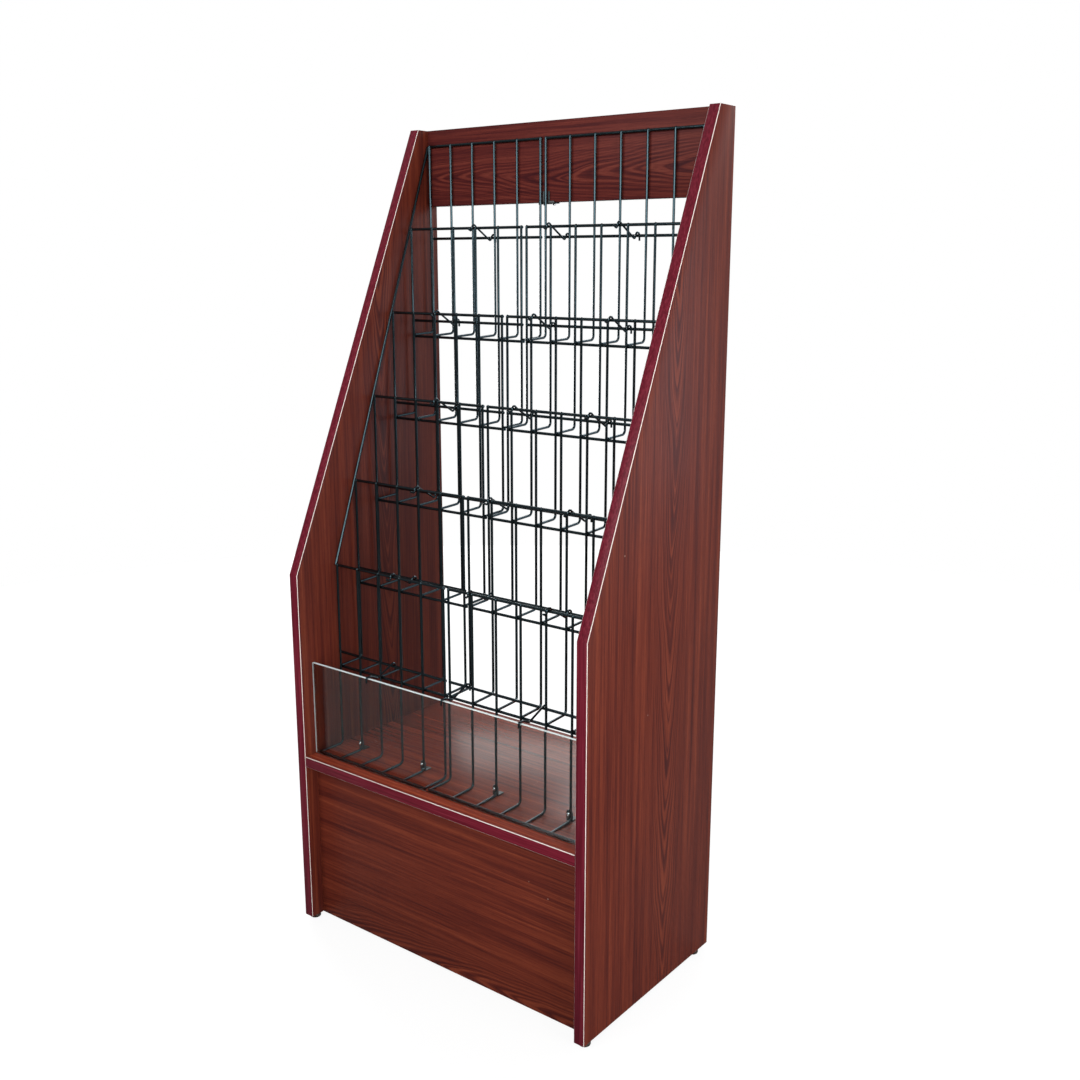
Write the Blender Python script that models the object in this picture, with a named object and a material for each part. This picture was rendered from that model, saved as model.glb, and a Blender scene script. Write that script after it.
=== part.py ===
"""Free-standing newspaper and paperback rack for a library.

Two wedge-shaped laminated side panels carry a base shelf, a kick panel and a back board.
Six stepped wire grilles on the left and six on the right form the tiers, a glass lip closes
the lowest one, and loose wire dividers that slide along the rails part the tiers into columns.
Metres, +Z up, front towards -Y, origin at the centre of the footprint on the floor.
"""
import math

import bmesh
import bpy
from mathutils import Vector

# Overall size
WIDTH = 0.520
DEPTH = 0.305
HEIGHT = 1.157

# Boards
BOARD = 0.016
EDGING = 0.002
EDGING_CHAMFER = 0.0008
GAP = 0.0003
GLIDE_HEIGHT = 0.006
KNEE_HEIGHT = 0.5374
TOP_DEPTH = 0.037
SHELF_TOP = 0.2648
KICK_SETBACK = 0.022
BACK_FACE = 0.2875
BACK_BOARD_BOTTOM = 1.0494

# Glass lip
GLASS_FACE = 0.0205
GLASS = 0.004
GLASS_TOP = 0.404

# Glides
GLIDE_RADIUS = 0.008
GLIDE_ROUND = 0.002
GLIDE_PROFILE = ((1.0, 0.0), (0.3, 0.3), (0.0, 1.0))
GLIDE_SIDES = 16
GLIDE_INSETS = {"front": 0.013, "rear": 0.278}

# Wire grilles: depths are measured back from the front plane
TIERS = 6
WIRE_R = 0.00175
RAIL_R = 0.002
TOP_RAIL = 1.134
TIER_DROP = 0.1187
REAR_WIRES = 0.2835
TIER_STEP = 0.0427
RAIL_OFFSET = 0.0012
MID_RAIL_DROP = 0.1315
FOOT_RAIL_DROP = 0.155
FOOT_BEND_DROP = 0.2695
BEND_RADIUS = 0.009
BEND_STEPS = 2
WIRE_PITCH = 0.0415
WIRE_TIP = 0.001
RAIL_OVERHANG = 0.002
UNITS = {"left": (-0.2370, 6), "right": (-0.0202, 7)}
WIRE_SIDES = 6
BRACE_SIDES = 8

# Sliding wire dividers: bends as (Y, Z) steps from a rail's centre or a corner over the glass,
# hooks as start and end angles, and each divider's resting place across the rack, rear tier first
DIVIDER_R = 0.0014
DIVIDER_SIDES = 6
HOOK_R = 0.0043
HOOK_STEPS = 4
FRONT_HOOK = (-10, 180)
REAR_HOOK = (0, 180)
GLASS_HOOK = (180, 60)
NOSE_STEPS = ((-0.0125, -0.0010), (-0.0070, -0.0040))
REAR_DIP = (-0.0080, -0.0035)
GLASS_DIP = (0.0130, -0.0055)
LIP_STEPS = ((0.0010, 0.0), (-0.0002, -0.0015), (-0.0006, -0.0075))
TAIL_STEP = (0.0045, -0.0065)
DIVIDER_PLACES = (
    (-0.1160, 0.0172, 0.1317),
    (-0.1504, 0.0249, 0.1495),
    (-0.1160, 0.0249, 0.1495),
    (-0.1160, 0.0177, 0.1495),
    (-0.1254, 0.0177, 0.1495),
    (-0.1295, 0.0112, 0.1423),
)

# Clips and screws
STRAP = 0.0015
SHELF_CLIP_GAP = 0.00045
SHELF_CLIP_WIDTH = 0.0095
SHELF_CLIP_HEIGHT = 0.0155
SHELF_CLIP_FOOT = 0.012
SHELF_CLIP_SCREW = (0.6, 0.6)
SHELF_CLIP_WIRES = {"left": (1, 4), "right": (2, 5)}
TOP_CLIP_LENGTH = 0.027
TOP_CLIP_BELOW = 0.0025
TOP_CLIP_ABOVE = 0.0020
TOP_CLIP_OVERLAP = 0.0050
TOP_CLIP_FLANGE = 0.013
TOP_CLIP_TAB_HEIGHT = 0.013
TOP_CLIP_TAB_WIDTH = 0.003
TOP_CLIP_SCREWS = (0.2, 0.8)
TOP_CLIP_SCREW_DEPTH = 0.6
SCREW_HEAD_R = 0.0026
SCREW_HEAD = 0.002
SCREW_HEAD_PROFILE = ((1.0, 0.0), (1.0, 0.4), (0.75, 0.8), (0.35, 1.0))
SCREW_SHANK_R = 0.0013
SCREW_HOLE_R = 0.0017
SCREW_HOLE_SIDES = 8
SHELF_SCREW_SHANK = 0.005
SCREW_SIDES = 12

INNER = WIDTH / 2 - BOARD
FRONT = -DEPTH / 2
SAME_PLACE = 1e-6
STRAIGHT = 1e-4


def clear_scene():
    for item in list(bpy.data.objects):
        bpy.data.objects.remove(item, do_unlink=True)


def make_material(name, colour, roughness, metallic=0.0, alpha=1.0):
    material = bpy.data.materials.new(name)
    material.use_nodes = True
    shader = material.node_tree.nodes["Principled BSDF"]
    shader.inputs["Base Color"].default_value = (*colour, 1.0)
    shader.inputs["Roughness"].default_value = roughness
    shader.inputs["Metallic"].default_value = metallic
    shader.inputs["Alpha"].default_value = alpha
    return material


def make_materials():
    return {
        "laminate": make_material("laminate", (0.13, 0.035, 0.028), 0.35),
        "edging": make_material("edging", (0.22, 0.045, 0.055), 0.3),
        "glass": make_material("glass", (0.85, 0.95, 0.92), 0.05, alpha=0.35),
        "glide": make_material("glide", (0.02, 0.02, 0.02), 0.5),
        "wire": make_material("wire", (0.012, 0.013, 0.015), 0.25, 0.6),
        "clip": make_material("clip", (0.015, 0.015, 0.016), 0.4),
        "screw": make_material("screw", (0.75, 0.76, 0.78), 0.2, 1.0),
    }


def at_depth(depth):
    """World Y of a depth measured back from the front plane."""
    return FRONT + depth


def finish(name, mesh_data, material, smooth=False):
    """Turns a bmesh into a named object with one material."""
    bmesh.ops.recalc_face_normals(mesh_data, faces=mesh_data.faces)
    mesh = bpy.data.meshes.new(name)
    mesh_data.to_mesh(mesh)
    mesh_data.free()
    mesh.materials.append(material)
    if smooth:
        mesh.shade_smooth()
        mesh.set_sharp_from_angle(angle=math.radians(50))
    thing = bpy.data.objects.new(name, mesh)
    bpy.context.scene.collection.objects.link(thing)
    return thing


def prism(outline, start, end, axis):
    """Closed bmesh: a flat outline at `start` on the axis (0, 1 or 2), extruded to `end`."""
    body = bmesh.new()
    corners = []
    for pair in outline:
        place = list(pair)
        place.insert(axis, start)
        corners.append(body.verts.new(place))
    face = body.faces.new(corners)
    swept = bmesh.ops.extrude_face_region(body, geom=[face])
    shift = Vector((0.0, 0.0, 0.0))
    shift[axis] = end - start
    moved = [item for item in swept["geom"] if isinstance(item, bmesh.types.BMVert)]
    bmesh.ops.translate(body, verts=moved, vec=shift)
    return body


def board(name, low, high, material):
    """A rectangular board between two corners."""
    outline = [(low[0], low[1]), (high[0], low[1]), (high[0], high[1]), (low[0], high[1])]
    return finish(name, prism(outline, low[2], high[2], 2), material)


def chamfer_front(body, limits, amount):
    """Chamfers the two long front arrises of an edging strip, whose X is one of `limits`."""
    def on_arris(edge):
        return any(all(abs(vert.co.x - limit) < SAME_PLACE for vert in edge.verts) for limit in limits)

    def in_front(edge):
        return all(vert in front for vert in edge.verts)

    front = front_vertices(body)
    edges = [edge for edge in body.edges if on_arris(edge) and in_front(edge)]
    bmesh.ops.bevel(body, geom=edges, offset=amount, segments=1, affect="EDGES")


def front_vertices(body):
    """The vertices that lie on the outer front line of the side profile."""
    outer = front_line(0.0)
    found = set()
    for vert in body.verts:
        if any((Vector((vert.co.y, vert.co.z)) - Vector(point)).length < SAME_PLACE for point in outer):
            found.add(vert)
    return found


def front_line(inset):
    """Bottom, knee and top of the side profile's front line, moved back by `inset`."""
    rise = HEIGHT - KNEE_HEIGHT
    run = DEPTH - TOP_DEPTH
    slope = math.hypot(rise, run)
    back, down = inset * rise / slope, inset * run / slope
    knee_z = KNEE_HEIGHT - down + (inset - back) * rise / run
    top_y = back + (rise + down) * run / rise
    return [
        (at_depth(inset), GLIDE_HEIGHT),
        (at_depth(inset), knee_z),
        (at_depth(top_y), HEIGHT),
    ]


def side_panels(materials):
    """Wedge-shaped boards with a plastic edging strip along the front line."""
    for side, sign in (("left", -1), ("right", 1)):
        outer, inner = sign * WIDTH / 2, sign * INNER
        rear = [(at_depth(DEPTH), HEIGHT), (at_depth(DEPTH), GLIDE_HEIGHT)]
        core = prism(front_line(EDGING + GAP) + rear, inner, outer, 0)
        finish(f"side_panel_{side}", core, materials["laminate"])
        strip = prism(front_line(0.0) + front_line(EDGING)[::-1], inner, outer, 0)
        chamfer_front(strip, (inner, outer), EDGING_CHAMFER)
        finish(f"side_edging_{side}", strip, materials["edging"])


def cross_boards(materials):
    """Base shelf with its front edging, kick panel and back board between the side panels."""
    reach = INNER - GAP
    underside = SHELF_TOP - BOARD
    laminate = materials["laminate"]
    shelf_front = at_depth(EDGING + GAP)
    board("base_shelf", (-reach, shelf_front, underside), (reach, at_depth(DEPTH), SHELF_TOP), laminate)
    board("shelf_edging", (-reach, FRONT, underside), (reach, at_depth(EDGING), SHELF_TOP),
          materials["edging"])
    kick_face = at_depth(KICK_SETBACK)
    board("kick_panel", (-reach, kick_face, GLIDE_HEIGHT),
          (reach, kick_face + BOARD, underside - GAP), laminate)
    back_face = at_depth(BACK_FACE)
    board("back_board", (-reach, back_face, BACK_BOARD_BOTTOM),
          (reach, back_face + BOARD, HEIGHT), laminate)


def glass_lip(materials):
    """Glass sheet that stands on the shelf and keeps the lowest tier in."""
    reach = INNER - GAP
    face = at_depth(GLASS_FACE)
    board("glass_front", (-reach, face, SHELF_TOP + GAP), (reach, face + GLASS, GLASS_TOP),
          materials["glass"])


def turned(name, profile, sides, material):
    """A solid turned round +Z from (radius, height) points, closed at both ends."""
    body = bmesh.new()
    rings = []
    for radius, height in profile:
        ring = []
        for step in range(sides):
            turn = 2 * math.pi * step / sides
            ring.append(body.verts.new((radius * math.cos(turn), radius * math.sin(turn), height)))
        rings.append(ring)
    skin(body, rings)
    return finish(name, body, material, smooth=True)


def skin(body, rings):
    """Joins rings of equal size into a closed tube with flat ends."""
    count = len(rings[0])
    for lower, upper in zip(rings, rings[1:]):
        for step in range(count):
            after = (step + 1) % count
            body.faces.new((lower[step], lower[after], upper[after], upper[step]))
    body.faces.new(rings[0][::-1])
    body.faces.new(rings[-1])


def glides(materials):
    """Plastic glides under the corners of the side panels."""
    profile = [(GLIDE_RADIUS - inward * GLIDE_ROUND, up * GLIDE_ROUND) for inward, up in GLIDE_PROFILE]
    profile.append((GLIDE_RADIUS, GLIDE_HEIGHT - GAP))
    for end, depth in GLIDE_INSETS.items():
        for side, sign in (("left", -1), ("right", 1)):
            glide = turned(f"glide_{end}_{side}", profile, GLIDE_SIDES, materials["glide"])
            glide.location = (sign * (WIDTH / 2 - BOARD / 2), at_depth(depth), 0.0)


def add_tube(body, path, radius, sides):
    """Adds a closed tube along a path that lies in one plane, mitred at every point."""
    points = [Vector(point) for point in path]
    runs = [(after - before).normalized() for before, after in zip(points, points[1:])]
    across = next((a.cross(b) for a, b in zip(runs, runs[1:]) if a.cross(b).length > STRAIGHT), None)
    if across is None:
        across = runs[0].orthogonal()
    across.normalize()
    rings = []
    for index, point in enumerate(points):
        before = runs[max(index - 1, 0)]
        after = runs[min(index, len(runs) - 1)]
        along = (before + after).normalized()
        stretch = 1.0 / along.dot(after)
        side = along.cross(across)
        ring = []
        for step in range(sides):
            turn = 2 * math.pi * (step + 0.5) / sides
            offset = across * math.cos(turn) + side * (math.sin(turn) * stretch)
            ring.append(body.verts.new(point + offset * radius))
        rings.append(ring)
    skin(body, rings)


def rounded(path, corner, radius, steps):
    """The path with one corner, given by its index, replaced by an arc."""
    before, tip, after = (Vector(path[corner + shift]) for shift in (-1, 0, 1))
    into, out = (tip - before).normalized(), (after - tip).normalized()
    half = into.angle(out) / 2
    setback = radius * math.tan(half)
    centre = tip + (out - into).normalized() * (radius / math.cos(half))
    start = tip - into * setback - centre
    normal = into.cross(out).normalized()
    arc = []
    for step in range(steps + 1):
        turn = 2 * half * step / steps
        arc.append(centre + start * math.cos(turn) + normal.cross(start) * math.sin(turn))
    return list(path[:corner]) + arc + list(path[corner + 1:])


def wire_plane(tier):
    """World Y of the upright wires of a tier; tier 0 is the rearmost and highest."""
    return at_depth(REAR_WIRES - TIER_STEP * tier)


def top_rail(tier):
    """World Z of a tier's top rail."""
    return TOP_RAIL - TIER_DROP * tier


def unit_wires(unit):
    """World X of the upright wires of the left or right unit."""
    first, count = UNITS[unit]
    return [first + WIRE_PITCH * index for index in range(count)]


def foot_end(tier):
    """Y and Z of the foot rail's centre, where a grille's wires end after their bend."""
    if tier == TIERS - 1:
        return at_depth(GLASS_FACE + GLASS + GAP) + RAIL_R, SHELF_TOP + GAP + RAIL_R
    behind = wire_plane(tier + 1) + WIRE_R + GAP + RAIL_R
    return behind, top_rail(tier + 1) - FOOT_RAIL_DROP


def upright_path(x, tier):
    """An upright wire with its bend and its foot."""
    plane, top = wire_plane(tier), top_rail(tier)
    rail_y, rail_z = foot_end(tier)
    if tier == TIERS - 1:
        bend_z = SHELF_TOP + GAP + WIRE_R
        foot = (x, rail_y, bend_z)
    else:
        bend_z = top - FOOT_BEND_DROP
        foot = (x, rail_y - RAIL_R / 2, rail_z + RAIL_R + WIRE_R - RAIL_OFFSET)
    path = [(x, plane, top + WIRE_TIP), (x, plane, bend_z), foot]
    return rounded(path, 1, BEND_RADIUS, BEND_STEPS)


def rail_places(tier):
    """Y and Z of the top, middle and foot rails of a grille."""
    behind = wire_plane(tier) + RAIL_OFFSET
    return [(behind, top_rail(tier)), (behind, top_rail(tier) - MID_RAIL_DROP), foot_end(tier)]


def wire_grille(unit, tier, material):
    """One stepped grille: upright wires with bent feet, welded to three rails."""
    wires = unit_wires(unit)
    uprights = bmesh.new()
    for x in wires:
        add_tube(uprights, upright_path(x, tier), WIRE_R, WIRE_SIDES)
    grille = finish(f"wire_panel_{unit}_{tier}", uprights, material, smooth=True)
    rails = bmesh.new()
    for y, z in rail_places(tier):
        ends = [(wires[0] - RAIL_OVERHANG, y, z), (wires[-1] + RAIL_OVERHANG, y, z)]
        add_tube(rails, ends, RAIL_R, WIRE_SIDES)
    guide = finish(f"rails_{unit}_{tier}", rails, material, smooth=True)
    guide.hide_render = True
    guide.display_type = "WIRE"
    weld = grille.modifiers.new("weld", "BOOLEAN")
    weld.operation = "UNION"
    weld.solver = "EXACT"
    weld.object = guide
    guide.hide_set(True)


def braces(materials):
    """Slanting wires that tie the ends of the top rails together."""
    reach = RAIL_OVERHANG + GAP + WIRE_R
    ends = {"left": unit_wires("left")[0] - reach, "right": unit_wires("right")[-1] + reach}
    for side, x in ends.items():
        body = bmesh.new()
        path = [(x, wire_plane(tier) + RAIL_OFFSET, top_rail(tier)) for tier in (0, TIERS - 1)]
        add_tube(body, path, WIRE_R, BRACE_SIDES)
        finish(f"brace_{side}", body, materials["wire"], smooth=True)


def hook(y, z, start, end):
    """Points of an arc over a rail at (y, z); the angles are in degrees from the front."""
    points = []
    for step in range(HOOK_STEPS + 1):
        turn = math.radians(start + (end - start) * step / HOOK_STEPS)
        points.append((y - HOOK_R * math.cos(turn), z + HOOK_R * math.sin(turn)))
    return points


def stepped(y, z, step):
    """The point one (Y, Z) step away from another."""
    return y + step[0], z + step[1]


def tier_divider_path(tier):
    """Y and Z of a divider that hangs on a grille's top rail and the middle rail behind it."""
    front = (wire_plane(tier) + RAIL_OFFSET, top_rail(tier))
    rear = (wire_plane(tier - 1) + RAIL_OFFSET, top_rail(tier - 1) - MID_RAIL_DROP)
    nose = [stepped(*front, step) for step in NOSE_STEPS]
    dip = [stepped(*rear, REAR_DIP)]
    tail = [stepped(*rear, TAIL_STEP)]
    return nose + hook(*front, *FRONT_HOOK) + dip + hook(*rear, *REAR_HOOK) + tail


def glass_divider_path():
    """Y and Z of a divider that hangs on the lowest middle rail and on the glass."""
    rear = (wire_plane(TIERS - 1) + RAIL_OFFSET, top_rail(TIERS - 1) - MID_RAIL_DROP)
    front_leg = at_depth(GLASS_FACE) - GAP - DIVIDER_R
    rear_leg = at_depth(GLASS_FACE + GLASS) + GAP + DIVIDER_R
    over = GLASS_TOP + GAP + DIVIDER_R
    tail = [stepped(*rear, TAIL_STEP)]
    dip = [stepped(rear_leg, over, GLASS_DIP), stepped(rear_leg, over, LIP_STEPS[0])]
    lip = [stepped(front_leg, over, step) for step in LIP_STEPS]
    return tail + hook(*rear, *GLASS_HOOK) + dip + lip


def dividers(materials):
    """Loose wire dividers, each with its origin on the line it slides along."""
    for row, places in enumerate(DIVIDER_PLACES):
        tier = row + 1
        on_glass = tier == TIERS
        path = glass_divider_path() if on_glass else tier_divider_path(tier)
        rest_y, rest_z = path[len(path) // 2]
        body = bmesh.new()
        local = [(0.0, y - rest_y, z - rest_z) for y, z in path]
        add_tube(body, local, DIVIDER_R, DIVIDER_SIDES)
        first = finish(f"divider_{tier}_0", body, materials["wire"], smooth=True)
        first.location = (places[0], rest_y, rest_z)
        for column, x in enumerate(places[1:], start=1):
            copy = bpy.data.objects.new(f"divider_{tier}_{column}", first.data)
            copy.location = (x, rest_y, rest_z)
            bpy.context.scene.collection.objects.link(copy)


def drill(target, place, axis, material):
    """Cuts a screw hole through a strap along an axis."""
    body = bmesh.new()
    shift = Vector((0.0, 0.0, 0.0))
    shift[axis] = 2 * STRAP
    centre = Vector(place)
    add_tube(body, [centre - shift, centre + shift], SCREW_HOLE_R, SCREW_HOLE_SIDES)
    cutter = finish(f"{target.name}_hole_{len(target.modifiers)}", body, material)
    cutter.hide_render = True
    cutter.display_type = "WIRE"
    cut = target.modifiers.new("hole", "BOOLEAN")
    cut.operation = "DIFFERENCE"
    cut.solver = "EXACT"
    cut.object = cutter
    cutter.hide_set(True)


def screw(name, place, rotation, shank, materials):
    """Pan-head screw; the head's underside is at the origin and the shank runs along -Z."""
    profile = [(SCREW_SHANK_R, -shank), (SCREW_SHANK_R, 0.0)]
    profile += [(wide * SCREW_HEAD_R, high * SCREW_HEAD) for wide, high in SCREW_HEAD_PROFILE]
    item = turned(name, profile, SCREW_SIDES, materials["screw"])
    item.location = place
    item.rotation_euler = rotation


def rounded_plate_outline(left, right, bottom, top, steps=4):
    """Upright plate outline in X and Z with a round top."""
    middle, radius = (left + right) / 2, (right - left) / 2
    points = [(left, bottom), (right, bottom)]
    for step in range(steps + 1):
        turn = math.pi * step / steps
        points.append((middle + radius * math.cos(turn), top - radius + radius * math.sin(turn)))
    return points


def shelf_clips(materials):
    """Angle clips that hold the lowest grilles down, each with its screw."""
    number = 0
    plate_y = wire_plane(TIERS - 1) + WIRE_R + SHELF_CLIP_GAP
    for unit, wires in SHELF_CLIP_WIRES.items():
        for wire in wires:
            number += 1
            right = unit_wires(unit)[wire] + WIRE_R / 2
            left = right - SHELF_CLIP_WIDTH
            bottom = SHELF_TOP + GAP
            outline = rounded_plate_outline(left, right, bottom, bottom + SHELF_CLIP_HEIGHT)
            plate = prism(outline, plate_y, plate_y + STRAP, 1)
            clip = finish(f"shelf_clip_{number}", plate, materials["clip"])
            foot = prism([(left, plate_y + STRAP / 2), (right, plate_y + STRAP / 2),
                          (right, plate_y + SHELF_CLIP_FOOT), (left, plate_y + SHELF_CLIP_FOOT)],
                         bottom, bottom + STRAP, 2)
            weld_plate(clip, foot, materials["clip"])
            hole_x = right - SHELF_CLIP_SCREW[0] * SHELF_CLIP_WIDTH
            hole_z = bottom + SHELF_CLIP_SCREW[1] * SHELF_CLIP_HEIGHT
            drill(clip, (hole_x, plate_y + STRAP / 2, hole_z), 1, materials["clip"])
            screw(f"shelf_clip_screw_{number}", (hole_x, plate_y - GAP, hole_z),
                  (math.radians(90), 0.0, 0.0), SHELF_SCREW_SHANK, materials)


def weld_plate(target, plate, material):
    """Makes a second plate part of a clip."""
    guide = finish(f"{target.name}_plate", plate, material)
    guide.hide_render = True
    guide.display_type = "WIRE"
    weld = target.modifiers.new("weld", "BOOLEAN")
    weld.operation = "UNION"
    weld.solver = "EXACT"
    weld.object = guide
    guide.hide_set(True)


def top_clip(materials):
    """Angle strap behind the two middle wires, screwed to the back board's lower edge."""
    inner_wires = (unit_wires("left")[-1], unit_wires("right")[0])
    plate_y = wire_plane(0) + WIRE_R + GAP
    thickness = BACK_FACE - REAR_WIRES - WIRE_R - 2 * GAP
    top = BACK_BOARD_BOTTOM - GAP
    low, high = top - TOP_CLIP_BELOW, top + TOP_CLIP_ABOVE
    left = inner_wires[0] - TOP_CLIP_OVERLAP
    right = left + TOP_CLIP_LENGTH
    outline = [(left, low), (right, low), (right, high)]
    for wire in reversed(inner_wires):
        start = wire + WIRE_R
        outline += [
            (start + TOP_CLIP_TAB_WIDTH, high),
            (start + TOP_CLIP_TAB_WIDTH, high + TOP_CLIP_TAB_HEIGHT),
            (start, high + TOP_CLIP_TAB_HEIGHT),
            (start, high),
        ]
    outline.append((left, high))
    clip = finish("top_clip", prism(outline, plate_y, plate_y + thickness, 1), materials["clip"])
    middle = plate_y + thickness / 2
    flange = [(left, middle), (right, middle), (right, plate_y + TOP_CLIP_FLANGE),
              (left, plate_y + TOP_CLIP_FLANGE)]
    weld_plate(clip, prism(flange, top - STRAP, top, 2), materials["clip"])
    screw_y = plate_y + TOP_CLIP_SCREW_DEPTH * TOP_CLIP_FLANGE
    for number, share in enumerate(TOP_CLIP_SCREWS, start=1):
        x = left + share * TOP_CLIP_LENGTH
        drill(clip, (x, screw_y, top - STRAP / 2), 2, materials["clip"])
        place = (x, screw_y, top - STRAP - GAP)
        turn = (math.radians(180), 0.0, 0.0)
        screw(f"top_clip_screw_{number}", place, turn, STRAP + GAP, materials)


def main():
    clear_scene()
    materials = make_materials()
    side_panels(materials)
    cross_boards(materials)
    glass_lip(materials)
    glides(materials)
    for unit in UNITS:
        for tier in range(TIERS):
            wire_grille(unit, tier, materials["wire"])
    braces(materials)
    dividers(materials)
    shelf_clips(materials)
    top_clip(materials)


main()
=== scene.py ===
"""Looks of the newspaper rack: laminate, edge strips, glass, round welded wire, clips and screws.

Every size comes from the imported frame's boxes and from the driving values below, in metres.
"""

import math

import bmesh
import bpy
from mathutils import Matrix, Vector


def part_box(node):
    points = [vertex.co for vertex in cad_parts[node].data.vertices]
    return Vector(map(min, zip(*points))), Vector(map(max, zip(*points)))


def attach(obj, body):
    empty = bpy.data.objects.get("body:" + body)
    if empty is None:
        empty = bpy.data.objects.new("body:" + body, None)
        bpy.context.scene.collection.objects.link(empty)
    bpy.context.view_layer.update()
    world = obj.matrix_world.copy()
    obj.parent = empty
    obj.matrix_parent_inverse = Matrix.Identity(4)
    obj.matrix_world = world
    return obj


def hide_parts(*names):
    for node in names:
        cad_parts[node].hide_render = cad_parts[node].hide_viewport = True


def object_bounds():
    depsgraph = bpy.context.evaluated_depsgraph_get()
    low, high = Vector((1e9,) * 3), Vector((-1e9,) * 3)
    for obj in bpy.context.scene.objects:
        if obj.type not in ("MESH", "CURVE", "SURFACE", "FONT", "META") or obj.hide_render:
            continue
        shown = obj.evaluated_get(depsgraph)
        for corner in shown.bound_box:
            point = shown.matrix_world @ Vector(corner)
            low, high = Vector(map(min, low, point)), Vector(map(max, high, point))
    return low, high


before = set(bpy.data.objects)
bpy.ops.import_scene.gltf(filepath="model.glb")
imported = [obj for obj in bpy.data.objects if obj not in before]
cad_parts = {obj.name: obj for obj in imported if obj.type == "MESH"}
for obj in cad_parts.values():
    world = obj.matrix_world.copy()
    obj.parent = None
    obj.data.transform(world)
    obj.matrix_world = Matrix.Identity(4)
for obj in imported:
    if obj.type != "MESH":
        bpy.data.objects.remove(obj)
cad_low, cad_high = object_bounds()

# Camera: place, turn and downward tilt in degrees, lens and sensor in millimetres
CAMERA_PLACE = (1.0336, -1.2365, 0.9693)
CAMERA_AZIMUTH = 37.88
CAMERA_DOWN = 13.03
CAMERA_LENS = 40.1
SENSOR_WIDTH = 36.0

# Studio: light of the surroundings, floor, and softboxes as name, place, target, width, height,
# power and colour
HORIZON_LIGHT = 0.14
ZENITH_LIGHT = 0.5
FLOOR_RADIUS = 2.5
FLOOR_GLOW = 0.87
FLOOR_TONE = 0.16
SOFTBOXES = (
    ("front_softbox", (0.4, -3.0, 1.88), (0.1, 0.0, 0.9), 4.4, 1.5, 108.0, (0.95, 0.99, 1.0)),
    ("side_softbox", (3.2, -0.4, 0.65), (0.0, 0.0, 0.6), 2.2, 0.9, 68.0, (1.0, 0.97, 0.95)),
    ("rear_side_softbox", (2.3, 2.6, 0.98), (0.2, 0.0, 0.8), 1.8, 1.7, 16.0, (0.72, 0.87, 1.0)),
    ("shelf_softbox", (-1.2, 2.4, 1.2), (0.0, 0.0, 0.3), 1.8, 0.9, 8.0, (0.94, 1.0, 1.0)),
    ("back_softbox", (-0.5, 3.0, 2.6), (0.0, 0.0, 0.6), 2.2, 1.4, 55.0, (0.98, 0.98, 1.0)),
    ("left_softbox", (-2.9, 1.5, 1.0), (0.0, 0.0, 0.6), 1.6, 1.4, 70.0, (1.0, 0.98, 0.97)),
)

# Laminate figure: nested arches round a centre line, and long streaks further out
ARCH_POWER = 1.5
ARCH_CURVE = 48.0
ARCH_WANDER = 0.030
ARCH_NEAR = 0.006
ARCH_FAR = 0.050
RING_RATE = 150.0
RING_UNEVENNESS = 18.0
DEPTH_GRAIN = 40.0
PORE_COLOUR = (0.040, 0.008, 0.007)
MARK_COLOUR = (0.42, 0.27, 0.22)

# Softened edges, and the angle in degrees past which an edge is shaded sharp
SHARP_ANGLE = 40
BOARD_EDGE = 0.0004
STRIP_EDGE = 0.00012
STRIP_ARRIS = 0.0008
GLASS_EDGE = 0.0004
CLIP_EDGE = 0.00025

# Wire: radii, sides of the round meshes, and places of the rails and bends. The CAD's wires are
# prisms, so its rails reach a little less far than round ones.
TIERS = 6
WIRE_R = 0.00175
RAIL_R = 0.002
DIVIDER_R = 0.0014
WIRE_SIDES = 14
RAIL_SIDES = 16
DIVIDER_SIDES = 12
RAIL_OFFSET = 0.0012
RAIL_OVERHANG = 0.002
RAIL_REACH = RAIL_R * math.cos(math.radians(15))
MID_RAIL_DROP = 0.1315
FOOT_BEND_DROP = 0.2695
BEND_RADIUS = 0.006
BEND_STEPS = 8
WIRE_TIP = 0.001
WIRE_COUNT = {"left": 6, "right": 7}
WELD_BEAD = (0.0027, 0.0021, 0.0027, 1.0)
GAP = 0.0003

# Dividers: hook over a rail, its short tail, and the bends between the hooks and at the glass
DIVIDERS_IN_A_TIER = 3
DIVIDER_STEPS = 5
HOOK_R = 0.0043
HOOK_STEPS = 12
HOOK_TAIL_SLACK = 0.0002
HOOK_TAIL_DROP = 0.0065
NECK_REACH = 0.0066
NECK_DROP = 0.0038
NECK_BEND = 0.0020
TIP_REACH = 0.0125
TIP_DROP = 0.0010
DIP_REACH = 0.0070
DIP_DROP = 0.0042
DIP_BEND = 0.0025
GLASS_DIP_REACH = 0.0130
GLASS_DIP_DROP = 0.0055
GLASS_DIP_BEND = 0.0040
GLASS_REAR_BEND = 0.0030
GLASS_FRONT_BEND = 0.0013
GLASS_REAR_SHIFT = 0.0008
GLASS_FRONT_SHIFT = 0.0004
GLASS_FRONT_RISE = 0.0002
GLASS_TAIL_SHIFT = 0.0006
GLASS_TAIL_DROP = 0.0075

# Screw heads and glides
SCREW_SIDES = 24
SCREW_NECK = 0.0020
RECESS_LENGTH = 0.60
RECESS_WIDTH = 0.16
RECESS_DEPTH = 0.0009
RECESS_TURN = 0.5
GLIDE_SIDES = 36
GLIDE_TOP_EDGE = 0.0004

SHELF_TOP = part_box("base_shelf")[1].z


# ---------------------------------------------------------------- materials

def new_material(name):
    """A material with its node tree and its shader."""
    material = bpy.data.materials.new(name)
    material.use_nodes = True
    tree = material.node_tree
    return material, tree, tree.nodes["Principled BSDF"]


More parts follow.
